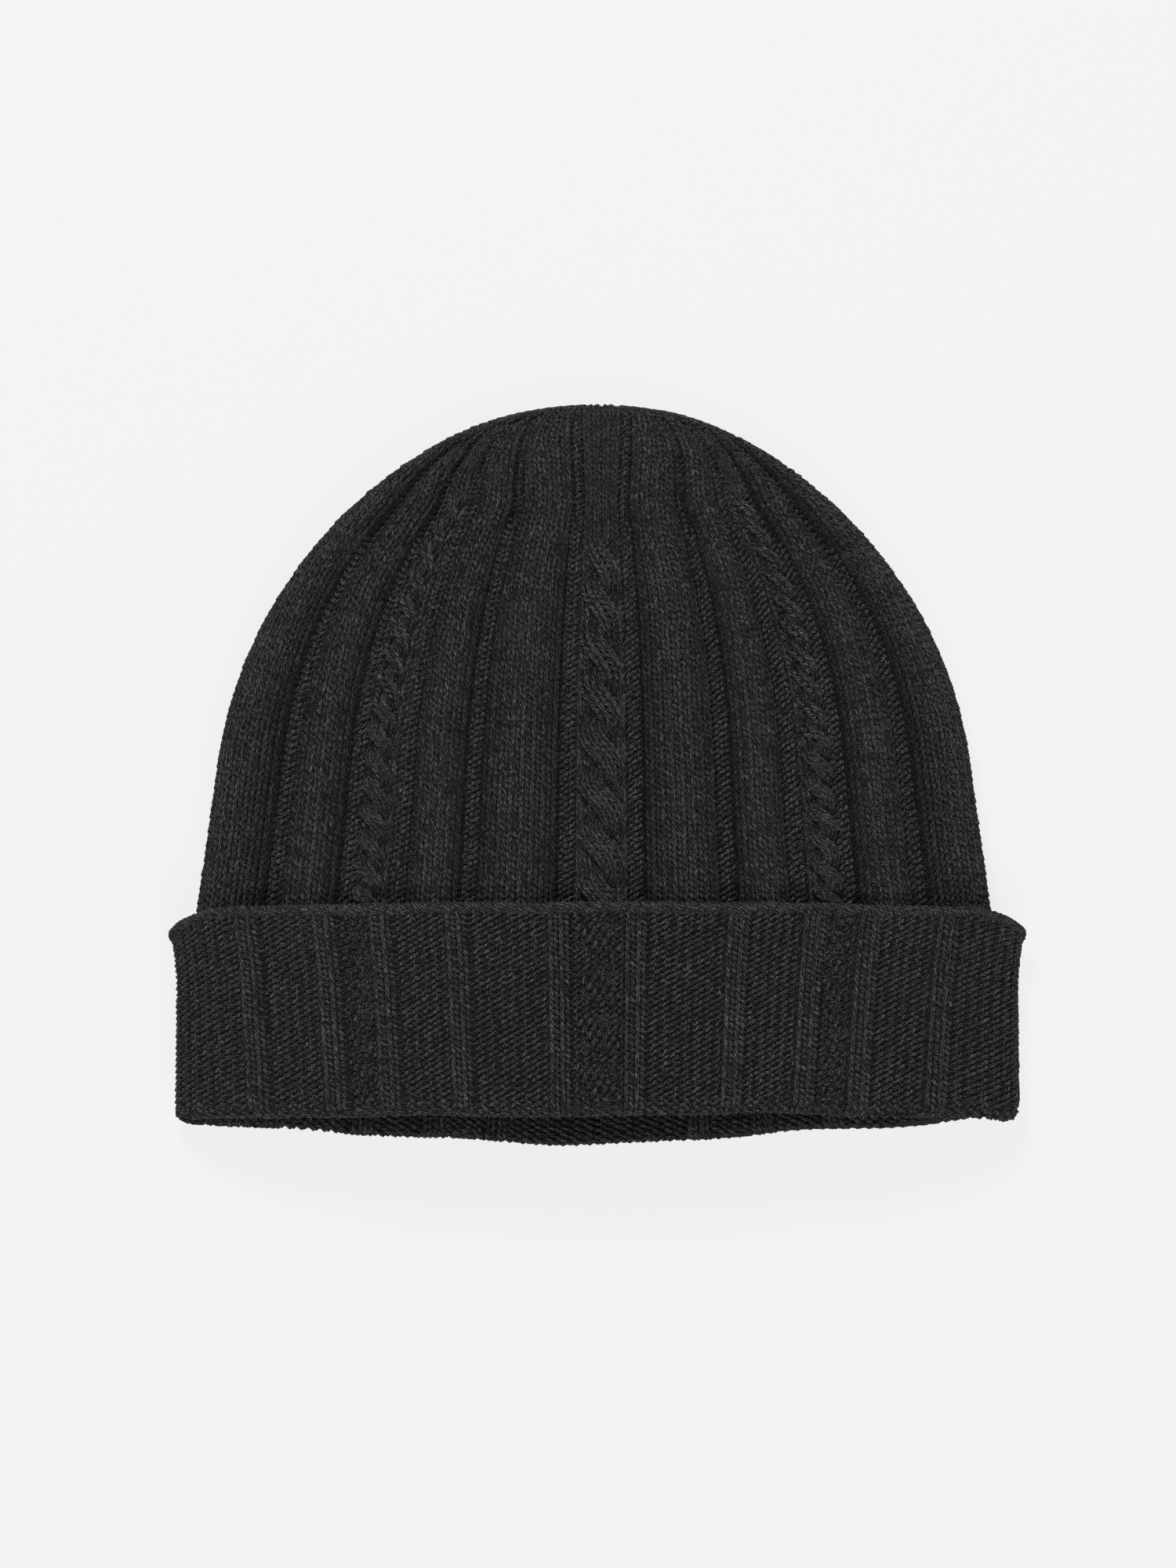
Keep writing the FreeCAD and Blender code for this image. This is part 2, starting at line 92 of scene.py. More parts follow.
# ---------------------------------------------------------------- the knitting
YARN = 0.66                 # half the thickness of the yarn, through the fabric
FILL = 0.23                 # half its width in a leg, as a share of the wale that it fills
HEAD = 0.56                 # half its width in a loop's head and foot
CHANGE = 0.2                # how much wider it is where knit changes to purl
COURSE = 1.70               # height of a course in the body
CUFF_COURSE = 1.64          # and in the cuff
BULGE = 0.175               # how far a loop spreads sideways, in wales
REACH = 0.78                # half the height of a loop, in courses
LEAN = -0.06                # how far a loop's head stands left of its foot, in wales
SKEW = 0.14                 # how far the twist of the yarn tips each head and foot, in courses
PURL_BULGE, PURL_SKEW, PURL_HEAD = 0.06, 0.20, 0.58
LOBE = 0.125                # how much fuller a loop's head and foot are on the purl side
WAVE = 0.72                 # half of what a loop travels through the fabric
TUCK = 0.18                 # how far each leg comes out over the one below it
LEG_POWER = 1.5             # how fast the yarn changes from a head's width to a leg's
TRAVEL, STEP = 0.22, 0.4    # shares of a wale at its edges where knit changes to purl, and the ground steps
LOOSE, UNEVEN = 0.06, 0.09  # what the hand varies: size of a loop and its height
KNIT_LEVEL, PURL_LEVEL = -1.45, -2.7         # middle of the fabric, from the rib tops
CUFF_LEVEL, CUFF_PAIR_LEVEL = -1.5, -0.7
SHALLOW_COURSES, SHALLOWEST = 14.0, 0.3      # the gutters run out over the last courses
ROUND = 0.6                 # how far a knit rib's edges curl down
ROUND_START, ROUND_END, LEAST_ROUND = 4, 26, 0.3      # courses over which the curl comes and goes
EDGE_CURL, CURL_POWER = 0.8, 2.2             # share of the curl at the very edge, and how fast it grows
FOLD_RADIUS = 1.75
FOLD_DRAW = 0.055           # wales stand this much nearer the front's middle at the fold, in radians
FOLD_LIMITS = (-0.45, 1.0)  # loops stay between these in the turn of the fold
SIDE_BY_SIDE, SPREAD_WIDTH, MOST_SPREAD = 1.6, 68.0, 8.0        # of the ribs close to the top
EDGE_HOLD = 0.6             # how far the courses at the side edges follow the length of the edge
DIVE = 0.8                  # how far the ends of a course dive into the fabric
NARROWEST = 2.7             # width of a wale before one is worked away
LEAST_STRIP, LEAST_WALE = 0.45, 0.4          # parts of a wale that are still knitted

CABLE_SPREAD = 0.30         # how much wider a strand is where it crosses
CABLE_TURN, CUFF_TURN = 0.9, 0.35            # tilt of a strand's courses there, in courses for each wale
CABLE_EDGE = 0.12           # share of its outer wales that a strand leaves free
CABLE_ROUND = 0.35          # how far the middle of a strand stands over its edges
CABLE_DIVE = 0.9
CUFF_RISE_SHARE = 0.25      # share of a cable's height that its wrong side has
LEAST_CABLE = 2.0           # width of a cable before it ends
UNDER_BODY, UNDER_CUFF = 0.85, -1.0          # ground behind the cables, as a share of the purl step
CENTRE_RISE, SLIM_RISE, BACK_WIDE_RISE, BACK_SLIM_RISE = 1.9, 1.3, 0.6, 0.5     # a crossing strand over it

CUFF_NAP_END, BODY_NAP_START = 47, 64        # courses: past the fold, and where the lining comes out
NAP_END, NAP_STEP, NAP_CLEARANCE = 0.4, 0.12, 0.3     # below the crown's end, edge of a wale, over the table

# Painted shade and light: brightness painted into the yarns' colour, lighter on their tops and falling from
# legs and from heads into the fabric, at a painted level for each kind of wale.
RIB_PAINTED_SHADE, GUTTER_PAINTED_SHADE, CUFF_PAINTED_SHADE, PAIR_PAINTED_SHADE = 0.88, 1.05, 0.95, 0.90
ROPE_PAINTED_SHADE, CUFF_ROPE_PAINTED_SHADE = (0.54, 0.38), (0.85, -0.20)       # middle, and more where a strand is on top
LEG_FADE, HEAD_FADE = 1.9, 1.1
MIDDLE, RATE = 0.5, 0.75

# Strips of wales from the front's middle to the side, and from the side to the back's middle: what
# each is, the share of the half width at which it ends and its wales.  The front's shares stand
# within 2 mm of the CAD's rib lines.
STRIPS = [("cable", 0.065, 3), ("purl", 0.116, 2), ("knit", 0.304, 7), ("purl", 0.356, 2),
          ("knit", 0.481, 5), ("purl", 0.534, 2), ("cable", 0.612, 4), ("purl", 0.665, 2),
          ("knit", 0.796, 5), ("purl", 0.848, 2)]
BACK_STRIPS = [("knit", 0.997, 7), ("purl", 0.975, 2), ("cable", 0.830, 6), ("purl", 0.775, 2),
               ("knit", 0.605, 6), ("purl", 0.550, 2), ("knit", 0.430, 4), ("purl", 0.375, 2),
               ("cable", 0.275, 4), ("purl", 0.220, 2), ("knit", 0.0, 7)]


def progress(value, start, end):
    """How far a value has come from start to end, within 0 and 1."""
    return np.clip((value - start) / (end - start), 0.0, 1.0)


def blend(one, other, share):
    """One value at a share of 0, the other at a share of 1."""
    return one + (other - one) * share


# ---------------------------------------------------------------- outline and surfaces
WIDTH, HEIGHT, OUT_X, OUT_Y = range(4)       # columns of the outline
ARC_STEPS = 400


def outline_table():
    """Half width, height and outward direction along the outline, crown to cuff."""
    def towards(turn):
        a = math.radians(turn)
        return np.array([math.sin(a), math.cos(a)])
    crown = np.array([0.0, CROWN_Y - CROWN_RADIUS])
    shoulder = crown + towards(CROWN_TURN) * (CROWN_RADIUS - SHOULDER_RADIUS)
    begin = shoulder + towards(SHOULDER_TURN) * SHOULDER_RADIUS
    spread = 1 / math.tan(math.radians(FLANK_TURN))
    swing = towards(FLANK_TURN) - towards(SHOULDER_TURN)
    short = BODY_HALF_WIDTH - begin[0] - (begin[1] - CUFF_TOP_Y) * spread
    flank_radius = short / (swing[0] + swing[1] * spread)
    flank = shoulder + towards(SHOULDER_TURN) * (SHOULDER_RADIUS - flank_radius)
    rows = []
    for centre, radius, start, end in ((crown, CROWN_RADIUS, 0.0, CROWN_TURN),
                                       (shoulder, SHOULDER_RADIUS, CROWN_TURN, SHOULDER_TURN),
                                       (flank, flank_radius, SHOULDER_TURN, FLANK_TURN)):
        for turn in np.linspace(start, end, ARC_STEPS, endpoint=False):
            out = towards(turn)
            rows.append((*(centre + out * radius), *out))
    out = towards(FLANK_TURN)
    rows.append((*(flank + out * flank_radius), *out))
    rows.append((BODY_HALF_WIDTH, CUFF_TOP_Y, *out))
    rows.append((BODY_HALF_WIDTH + MOUTH_SPREAD, FOLD_Y - SPREAD_BELOW, 1.0, 0.0))
    return np.array(rows)


UP = outline_table()[::-1]          # mouth to crown, so that heights rise


def along(y, column):
    """A column of the outline at a height."""
    return np.interp(y, UP[:, HEIGHT], UP[:, column])


def mouth_height(x, y, height, z, front):
    """Height of a point, with the back edge of the mouth drawn onto its curve."""
    curve = FOLD_Y - BACK_DROP + MOUTH_CURVE - np.sqrt(MOUTH_CURVE ** 2 - x ** 2)
    curve = curve + RIGHT_LIFT * progress(x, RIGHT_START, RIGHT_END)
    edge = FOLD_Y + BACK_LEAN * (z - SIDE_HEIGHT)
    return np.where(front, height, height + progress(y, CUFF_TOP_Y, FOLD_Y) * (curve - edge))


def pressed(front, rise, sag, half_width, level):
    """Height of the pressed hat against its half width, in front and at the back."""
    return np.where(front, rise + level, sag + level) / (half_width + level)


def ground(y):
    """Height of what the back lies on: the back of the cuff, then the table."""
    return np.interp(y, SETTLE, (CUFF_WALL, 0.0))


def body_point(angle, y, level):
    """Point of the body at a meridian and a height, at a level over the rib tops."""
    width = along(y, WIDTH) + level * along(y, OUT_X)
    plain = y + level * along(y, OUT_Y)
    x = width * np.sin(angle)
    cosine = np.cos(angle)
    front = cosine > 0
    free = SIDE_HEIGHT + pressed(front, FRONT_RISE, BACK_SAG, BODY_HALF_WIDTH, level) * width * cosine
    lean = np.where(front, FRONT_LEAN, BACK_LEAN)
    # The back settles on the cuff's back and on the table, and its lean ends there.
    z = free
    for _ in range(3):
        low = ground(plain + lean * (z - SIDE_HEIGHT)) - level
        z = np.where(front, free, np.maximum(free, low))
    return np.stack([x, mouth_height(x, y, plain + lean * (z - SIDE_HEIGHT), z, front), z], -1)


def cuff_point(angle, y, level):
    """Point of the cuff: level 0 is the outside of its purl panels."""
    flare = CUFF_FLARE / FLARE_LENGTH * np.maximum(y - (CUFF_TOP_Y - FLARE_LENGTH), 0.0)
    width = CUFF_HALF_WIDTH + level + flare
    x = width * np.sin(angle)
    cosine = np.cos(angle)
    front = cosine > 0
    z = SIDE_HEIGHT + pressed(front, CUFF_RISE, CUFF_SAG, CUFF_HALF_WIDTH, level) * width * cosine
    z = np.where(front, z, np.maximum(z, -level))
    # The free edge drops and flares a little where it turns the corner.
    corner = progress(np.abs(x), CORNER_START, CORNER_START + CORNER)
    rolled = progress(y, CUFF_TOP_Y - CORNER, CUFF_TOP_Y) ** 2 * corner ** 2
    x = x + np.sign(x) * CORNER_FLARE * rolled
    y = y - CORNER_DROP * rolled
    height = y + np.where(front, FRONT_LEAN, BACK_LEAN) * (z - SIDE_HEIGHT)
    return np.stack([x, mouth_height(x, y, height, z, front), z], -1)


# ---------------------------------------------------------------- where each course lies
# Courses are counted from the cast-on edge, down the cuff, round the fold and up to the crown.
CROWN_FINE = 2.0                    # heights are closer together in the last stretch


def arc_heights(stretch):
    """Heights from the cuff's top to the crown, the share of the fabric up to each, and all of it."""
    lower = np.linspace(CUFF_TOP_Y, CROWN_Y - CROWN_FINE, 1200)
    y = np.concatenate([lower, np.linspace(CROWN_Y - CROWN_FINE, CROWN_Y, 800)[1:]])
    w = along(y, WIDTH) * stretch
    run = np.concatenate([[0.0], np.cumsum(np.hypot(np.diff(y), np.diff(w)))])
    return y, run / run[-1], run[-1]


CENTRE_Y, CENTRE_SHARE, CENTRE_RUN = arc_heights(FRONT_RISE / BODY_HALF_WIDTH)
SIDE_Y, SIDE_SHARE, _ = arc_heights(1.0)
TURN_Y = FOLD_Y + FOLD_RADIUS + WAVE + YARN
CHAIN_ROOM, OVER_EDGE, CROWN_ROOM = 0.4, 2.0, 1.2     # for the cast-on chain, and courses left at the crown
CAST_ON_Y = CUFF_TOP_Y - CHAIN_ROOM
CUFF_END = (CAST_ON_Y - TURN_Y) / CUFF_COURSE
FOLD_END = CUFF_END + math.pi * FOLD_RADIUS / CUFF_COURSE
LINING_END = FOLD_END + (CUFF_TOP_Y - TURN_Y) / COURSE
CROWN_END = LINING_END + CENTRE_RUN / COURSE
LAST_COURSE = int(CROWN_END - CROWN_ROOM)
UPPER_START, UPPER_FULL = CUFF_END + 6, CUFF_END + 18           # the body's own shift comes in here


def course_height(course, angle):
    """Height on the outline for a course, at each meridian."""
    y = np.interp(course, [-2.0, 0.0, CUFF_END, FOLD_END, LINING_END],
                  [CAST_ON_Y + 2 * CUFF_COURSE, CAST_ON_Y, TURN_Y, TURN_Y, CUFF_TOP_Y])
    share = progress(course, LINING_END, CROWN_END)
    edge = np.sin(angle) ** 2 * blend(EDGE_HOLD, 1.0, share ** 3)
    centre_y = np.interp(share, CENTRE_SHARE, CENTRE_Y)
    side_y = np.interp(share, SIDE_SHARE, SIDE_Y)
    return np.where(course > LINING_END, (1 - edge) * centre_y + edge * side_y, y)


def course_size(course, angle):
    """Height of a course against the plain one, at each meridian."""
    least, most = 0.9, 1.3
    low, high = course_height(course - 0.5, angle), course_height(course + 0.5, angle)
    return np.clip(np.abs(high - low) / COURSE, least, most)


def slow_noise(x, y, seed):
    """Soft unevenness of hand, from a few long waves."""
    count, rate, full_turn, size = 7, 0.075, 6.28, 2.6
    waves = np.random.default_rng(seed)
    total = np.zeros_like(x)
    for _ in range(count):
        kx, ky = waves.normal(0.0, rate, 2)
        total += np.sin(kx * x + ky * y + waves.uniform(0, full_turn))
    return total / size


def meridian(angle, y):
    """Meridian of a wale, drawn forward at the fold and side by side with the others near the top."""
    angle = angle - FOLD_DRAW * np.sin(angle) * progress(y, CUFF_TOP_Y, TURN_Y)
    near = SPREAD_WIDTH / np.maximum(along(y, WIDTH), 1.0) - 1.0
    spread = np.clip(SIDE_BY_SIDE * near, 0.0, MOST_SPREAD)
    sine = np.abs(np.sin(angle))
    turned = np.arcsin(np.clip(sine * (1 + spread) / (1 + spread * sine), 0.0, 1.0))
    moved = np.sign(angle) * np.where(np.cos(angle) > 0, turned, np.pi - turned)
    return np.where(spread > 0, moved, angle)


def laid_by_hand(point, angle, course):
    """The point in the hat as it lies: not quite symmetrical, and with a waving lower edge."""
    x, y, z = (point[..., axis] for axis in range(3))
    front = np.cos(angle) > 0
    upper = progress(course, UPPER_START, UPPER_FULL)
    centre = np.clip(np.cos(angle), 0.0, 1.0) + CENTRE_MORE * np.exp(-(x / CENTRE_REACH) ** 2)
    x = x * (WIDEN + UPPER_WIDEN * upper) + SHIFT + (CENTRE_SHIFT * centre - SIDE_SHIFT) * upper
    y = y + CROWN_STRETCH * progress(y, STRETCH_START, STRETCH_END) ** 2
    y = y - MOUTH_HANG * progress(y, HANG_START, MOUTH_END)
    waves = slow_noise(x, np.where(front, FRONT_ROW, BACK_ROW), EDGE_SEED)
    y = y + EDGE_WAVE * waves * progress(y, WAVE_START, MOUTH_END)
    z = z + np.where(front, RIPPLE * slow_noise(x, y, RIPPLE_SEED), 0.0)
    return np.stack([x, y, z], -1)


def fabric_point(angle, course, purl, off):
    """Point of the fabric; off is the height towards its right side, purl is 1 in a purl wale."""
    y = course_height(course, angle)
    angle = meridian(angle, y)
    turn = np.pi * progress(course, FOLD_END, CUFF_END)
    off = off - (off - np.clip(off, *FOLD_LIMITS)) * np.sin(turn)
    gutter = np.clip((CROWN_END - course) / SHALLOW_COURSES, SHALLOWEST, 1.0) * purl
    inner = body_point(angle, y, blend(KNIT_LEVEL, PURL_LEVEL, gutter) + off)
    cuff_level = blend(CUFF_LEVEL, CUFF_PAIR_LEVEL, purl) - off
    outer = cuff_point(angle, np.minimum(y, CAST_ON_Y + OVER_EDGE), cuff_level)
    point = (inner + outer) / 2 + (inner - outer) / 2 * np.cos(turn)[..., None]
    point[..., 1] -= (FOLD_RADIUS - off) * np.sin(turn)
    return laid_by_hand(point, angle, course)


# ---------------------------------------------------------------- yarns to meshes
ASIDE = np.array([0.31, 0.52, 0.79])         # a direction that no plain yarn runs along


def unit(v):
    """Vectors of length 1."""
    return v / np.maximum(np.linalg.norm(v, axis=-1, keepdims=True), 1e-9)


def add_piece(mesh, name):
    """A mesh as a piece of the hat, which rides on its one body."""
    obj = bpy.data.objects.new(name, mesh)
    bpy.context.scene.collection.objects.link(obj)
    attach(obj, "root")
    return obj


class Skein:
    """Yarns collected for one mesh."""

    def __init__(self):
        self.points, self.faces, self.fibres, self.heights, self.count = [], [], [], [], 0

    def tube(self, path, normal, width, sides, height=0.6):
        """One yarn along a path: YARN thick along the normal and its own width across it; height is the
        painted shade laid on its colour.
        """
        n = len(path)
        tangent = unit(np.gradient(path, axis=0))
        side = unit(np.cross(tangent, normal))
        up = np.cross(side, tangent)
        turn = 2 * np.pi * np.arange(sides) / sides
        ring = (YARN * np.cos(turn)[None, :, None] * up[:, None, :]
                + width[:, None, None] * np.sin(turn)[None, :, None] * side[:, None, :])
        points = path[:, None, :] + ring
        points[..., 2] = np.maximum(points[..., 2], 0.0)
        length = np.concatenate([[0.0], np.cumsum(np.linalg.norm(np.diff(path, axis=0), axis=1))])
        fibre = np.empty((n, sides, 3))
        fibre[..., 0] = np.cos(turn)[None, :]
        fibre[..., 1] = np.sin(turn)[None, :]
        fibre[..., 2] = length[:, None] + rng.uniform(0, 500)
        i = np.arange(n - 1)[:, None] * sides
        j = np.arange(sides)[None, :]
        k = (j + 1) % sides
        quads = np.stack([i + j, i + sides + j, i + sides + k, i + k], -1).reshape(-1, 4)
        self.faces.append(quads + self.count)
        # Quads that fan out from one corner close each end; of five sides they leave one corner open.
        first = list(range(sides))
        last = [(n - 1) * sides + corner for corner in reversed(first)]
        for loop in (first, last):
            for a in range(1, sides - 2, 2):
                self.faces.append(np.array([[loop[0], *loop[a:a + 3]]]) + self.count)
        self.points.append(points.reshape(-1, 3))
        self.fibres.append(fibre.reshape(-1, 3))
        self.heights.append(np.repeat(np.broadcast_to(height, (n,)), sides))
        self.count += n * sides

    def plain_yarn(self, path, width, sides=6):
        """A yarn along a free path."""
        tangent = unit(np.gradient(path, axis=0))
        self.tube(path, unit(np.cross(tangent, ASIDE)), np.full(len(path), width), sides)

    def fabric_yarn(self, angle, place, level, off, width, sides, height):
        """A yarn in the fabric, with its width along the fabric and height as its painted shade."""
        little = 0.2
        path = fabric_point(angle, place, level, off)
        above = fabric_point(angle, place, level, off + little)
        self.tube(path, unit(above - path), width, sides, height)

    def piece(self, name):
        """The yarns as one mesh, with their fibre directions and their painted shade, as the height
        attribute, for the material.
        """
        points = np.concatenate(self.points) * MM
        faces = np.concatenate(self.faces)
        mesh = bpy.data.meshes.new(name)
        mesh.vertices.add(len(points))
        mesh.vertices.foreach_set("co", points.astype(np.float32).ravel())
        mesh.loops.add(faces.size)
        mesh.loops.foreach_set("vertex_index", faces.astype(np.int32).ravel())
        mesh.polygons.add(len(faces))
        mesh.polygons.foreach_set("loop_start", np.arange(0, faces.size, 4, dtype=np.int32))
        mesh.polygons.foreach_set("use_smooth", np.ones(len(faces), dtype=bool))
        mesh.update(calc_edges=True)
        fibre = mesh.attributes.new("fibre", "FLOAT_VECTOR", "POINT")
        fibre.data.foreach_set("vector", np.concatenate(self.fibres).astype(np.float32).ravel())
        # The height attribute carries the painted shade of the yarns, which the material multiplies into
        # their colour.
        height = mesh.attributes.new("height", "FLOAT", "POINT")
        height.data.foreach_set("value", np.concatenate(self.heights).astype(np.float32))
        mesh.validate()
        return add_piece(mesh, name)


# ---------------------------------------------------------------- strips and wales
Strip = namedtuple("Strip", "start end kind wales")
Cable = namedtuple("Cable", "name centre half wales crossing rope_end rise")


def half_strips():
    """Strips of the right half, from the front's middle (0) to the back's middle (180)."""
    ends = [(math.degrees(math.asin(share)), kind, wales) for kind, share, wales in STRIPS]
    ends += [(180 - math.degrees(math.asin(share)), kind, wales) for kind, share, wales in BACK_STRIPS]
    starts = [0.0] + [end for end, kind, wales in ends]
    return [Strip(start, *end) for start, end in zip(starts, ends)]


HALF_STRIPS = half_strips()
MIRRORED = [Strip(-end, -start, kind, wales) for start, end, kind, wales in reversed(HALF_STRIPS)]
ALL_STRIPS = MIRRORED + HALF_STRIPS         # round the hat, from the back's middle and back to it

# Courses for each crossing of a rope, and the course above which its strands run straight.
WIDE_ROPE, SLIM_ROPE = (8.0, CROWN_END - 26.7), (4.2, CROWN_END - 22.0)


def cable_list():
    """The front's centre cable, then each other cable on the right and on the left."""
    centre, *others = [strip for strip in HALF_STRIPS if strip.kind == "cable"]
    cables = [Cable("centre_cable", 0.0, centre.end, 2 * centre.wales, *WIDE_ROPE, CENTRE_RISE)]
    for strip, name, rise in zip(others, ("cable", "back_wide", "back_slim"),
                                 (SLIM_RISE, BACK_WIDE_RISE, BACK_SLIM_RISE)):
        middle, half = (strip.start + strip.end) / 2, (strip.end - strip.start) / 2
        rope = WIDE_ROPE if strip.wales == 6 else SLIM_ROPE
        cables.append(Cable(name + "_right", middle, half, strip.wales, *rope, rise))
        cables.append(Cable(name + "_left", -middle, half, strip.wales, *rope, rise))
    return cables


def strip_run(start, end, course, steps=17):
    """Angles over a strip, and the width of fabric up to each."""
    angles = np.linspace(start, end, steps)
    still = np.zeros(steps)
    points = fabric_point(np.radians(angles), np.full(steps, float(course)), still, still)
    return angles, np.concatenate([[0.0], np.cumsum(np.linalg.norm(np.diff(points, axis=0), axis=1))])


def wale_widths(wales, length, lead):
    """Shares of a strip that its wales take: one wale at a time is worked away."""
    count = min(wales, length / NARROWEST)
    if count < LEAST_STRIP:
        return np.array([])
    full = int(count)
    part = count - full
    widths = [1.0] * full
    if full < wales and part > LEAST_WALE:
        widths.insert(full if (full + lead) % 2 else 0, part)
    widths = np.array(widths)
    return widths / widths.sum()


def course_wales(course):
    """Edges of the wales of one course, their purl levels, their widths, and the curl at each edge."""
    edges, purls, sizes, curls = [ALL_STRIPS[0].start], [], [], [0.0]
    coming = max(0.0, (course - LINING_END + ROUND_START) / ROUND_START)
    curl = -ROUND * min(1.0, coming, max(LEAST_ROUND, (CROWN_END - course) / ROUND_END))
    under = UNDER_BODY if course > CUFF_END else UNDER_CUFF
    for number, (start, end, kind, wales) in enumerate(ALL_STRIPS):
        angles, run = strip_run(start, end, course)
        length = run[-1]
        widths = wale_widths(wales, length, number)
        edges += list(np.interp(np.cumsum(widths) * length, run, angles))
        purls += [{"purl": 1.0, "knit": 0.0, "cable": under}[kind]] * len(widths)
        sizes += list(length * widths)
        if kind == "knit" and len(widths):
            curls[-1] = curl * EDGE_CURL
            curls += list(curl * np.abs(2 * np.cumsum(widths) - 1) ** CURL_POWER)
            curls[-1] = curl * EDGE_CURL
        else:
            curls += [0.0] * len(widths)
    return np.radians(edges), np.array(purls), np.array(sizes), np.array(curls)


# ---------------------------------------------------------------- stitches
def held(t, values, margin):
    """A value for each wale, held over the wale and changing within a margin of its edges."""
    start = np.arange(len(values))
    marks = np.stack([start + margin, start + (1 - margin)], -1).ravel()
    return np.interp(t, marks, np.repeat(values, 2))


def with_ends(values, dive=0.0):
    """The values along a yarn with one more at each end, where the yarn dives into the fabric."""
    return np.concatenate([values[:1] + dive, values, values[-1:] + dive])


def loop_steps(wales, samples):
    """Steps along a run of loops: the wale that each is in, and its phase in the loop."""
    t = np.arange(wales * samples + 1) / samples
    index = np.minimum(t.astype(int), wales - 1)
    return t, index, 2 * np.pi * (t - index)


def knit_course(skein, course, samples, sides):
    """One course all round the hat, as one yarn."""
    edges, purls, sizes, curls = course_wales(course)
    wales = len(purls)
    marks = np.arange(wales + 1)
    t, index, phase = loop_steps(wales, samples)
    # The third row of the hand's unevenness isn't used.
    slack, lifts = rng.normal(0, 1, (3, wales + 1))[:2]
    purl = held(t, np.where(purls == 1.0, 1.0, 0.0), TRAVEL)
    level = held(t, purls, STEP)
    side = 1 - 2 * purl
    # A loop shows its legs on the knit side and its tipped heads and feet on the purl side;
    # the cuff and the lining show their inner side.
    outward = 1 if course > LINING_END - 1 else -1
    shown = purl if outward > 0 else 1 - purl
    sway = blend(BULGE, PURL_BULGE, shown) * np.sin(2 * phase) + LEAN * np.cos(phase)
    angle = edges[index] + np.diff(edges)[index] * ((t - index) + sway)
    off = -WAVE * side * np.cos(2 * phase) + TUCK * (1 - shown) * side * np.cos(phase)
    off = off + np.interp(t, marks, lifts) * UNEVEN + np.interp(t, marks, curls)
    reach = REACH * (1 + np.interp(t, marks, slack) * LOOSE)
    lobe = np.cos(phase) + shown * LOBE * (np.cos(phase) - np.cos(3 * phase))
    skew = blend(SKEW, PURL_SKEW, shown) * (1 if course > CUFF_END else -1)
    place = course - reach * lobe + skew * np.sin(2 * phase)
    # The yarn is wide in the heads and feet and narrow in the legs.
    head = blend(HEAD, PURL_HEAD, shown) + CHANGE * (1 - np.abs(side))
    if course > LINING_END:
        head = head * course_size(np.full(len(t), float(course)), angle)
    leg = np.interp(t, marks[:-1] + 0.5, FILL * sizes)
    width = blend(head, leg, np.abs(np.sin(phase)) ** LEG_POWER)
    angle = np.concatenate([[2 * angle[0] - angle[1]], angle, [2 * angle[-1] - angle[-2]]])
    off = with_ends(off, DIVE if course < CUFF_END else -DIVE)
    level, shown = with_ends(level), with_ends(shown)
    # Painted shade and light: the yarn's colour is painted lighter where it stands out of the fabric and
    # darker where it goes in, at a painted level for each kind of wale.
    painted_shade = np.clip(MIDDLE + RATE * off * outward, 0.0, 1.0) ** blend(LEG_FADE, HEAD_FADE, shown)
    knit_painted_shade, purl_painted_shade = (RIB_PAINTED_SHADE, GUTTER_PAINTED_SHADE) if outward > 0 else (CUFF_PAINTED_SHADE, PAIR_PAINTED_SHADE)
    painted_shade = painted_shade * blend(knit_painted_shade, purl_painted_shade, np.clip(level, 0.0, 1.0))
    skein.fabric_yarn(angle, with_ends(place), level, off, with_ends(width), sides, painted_shade)


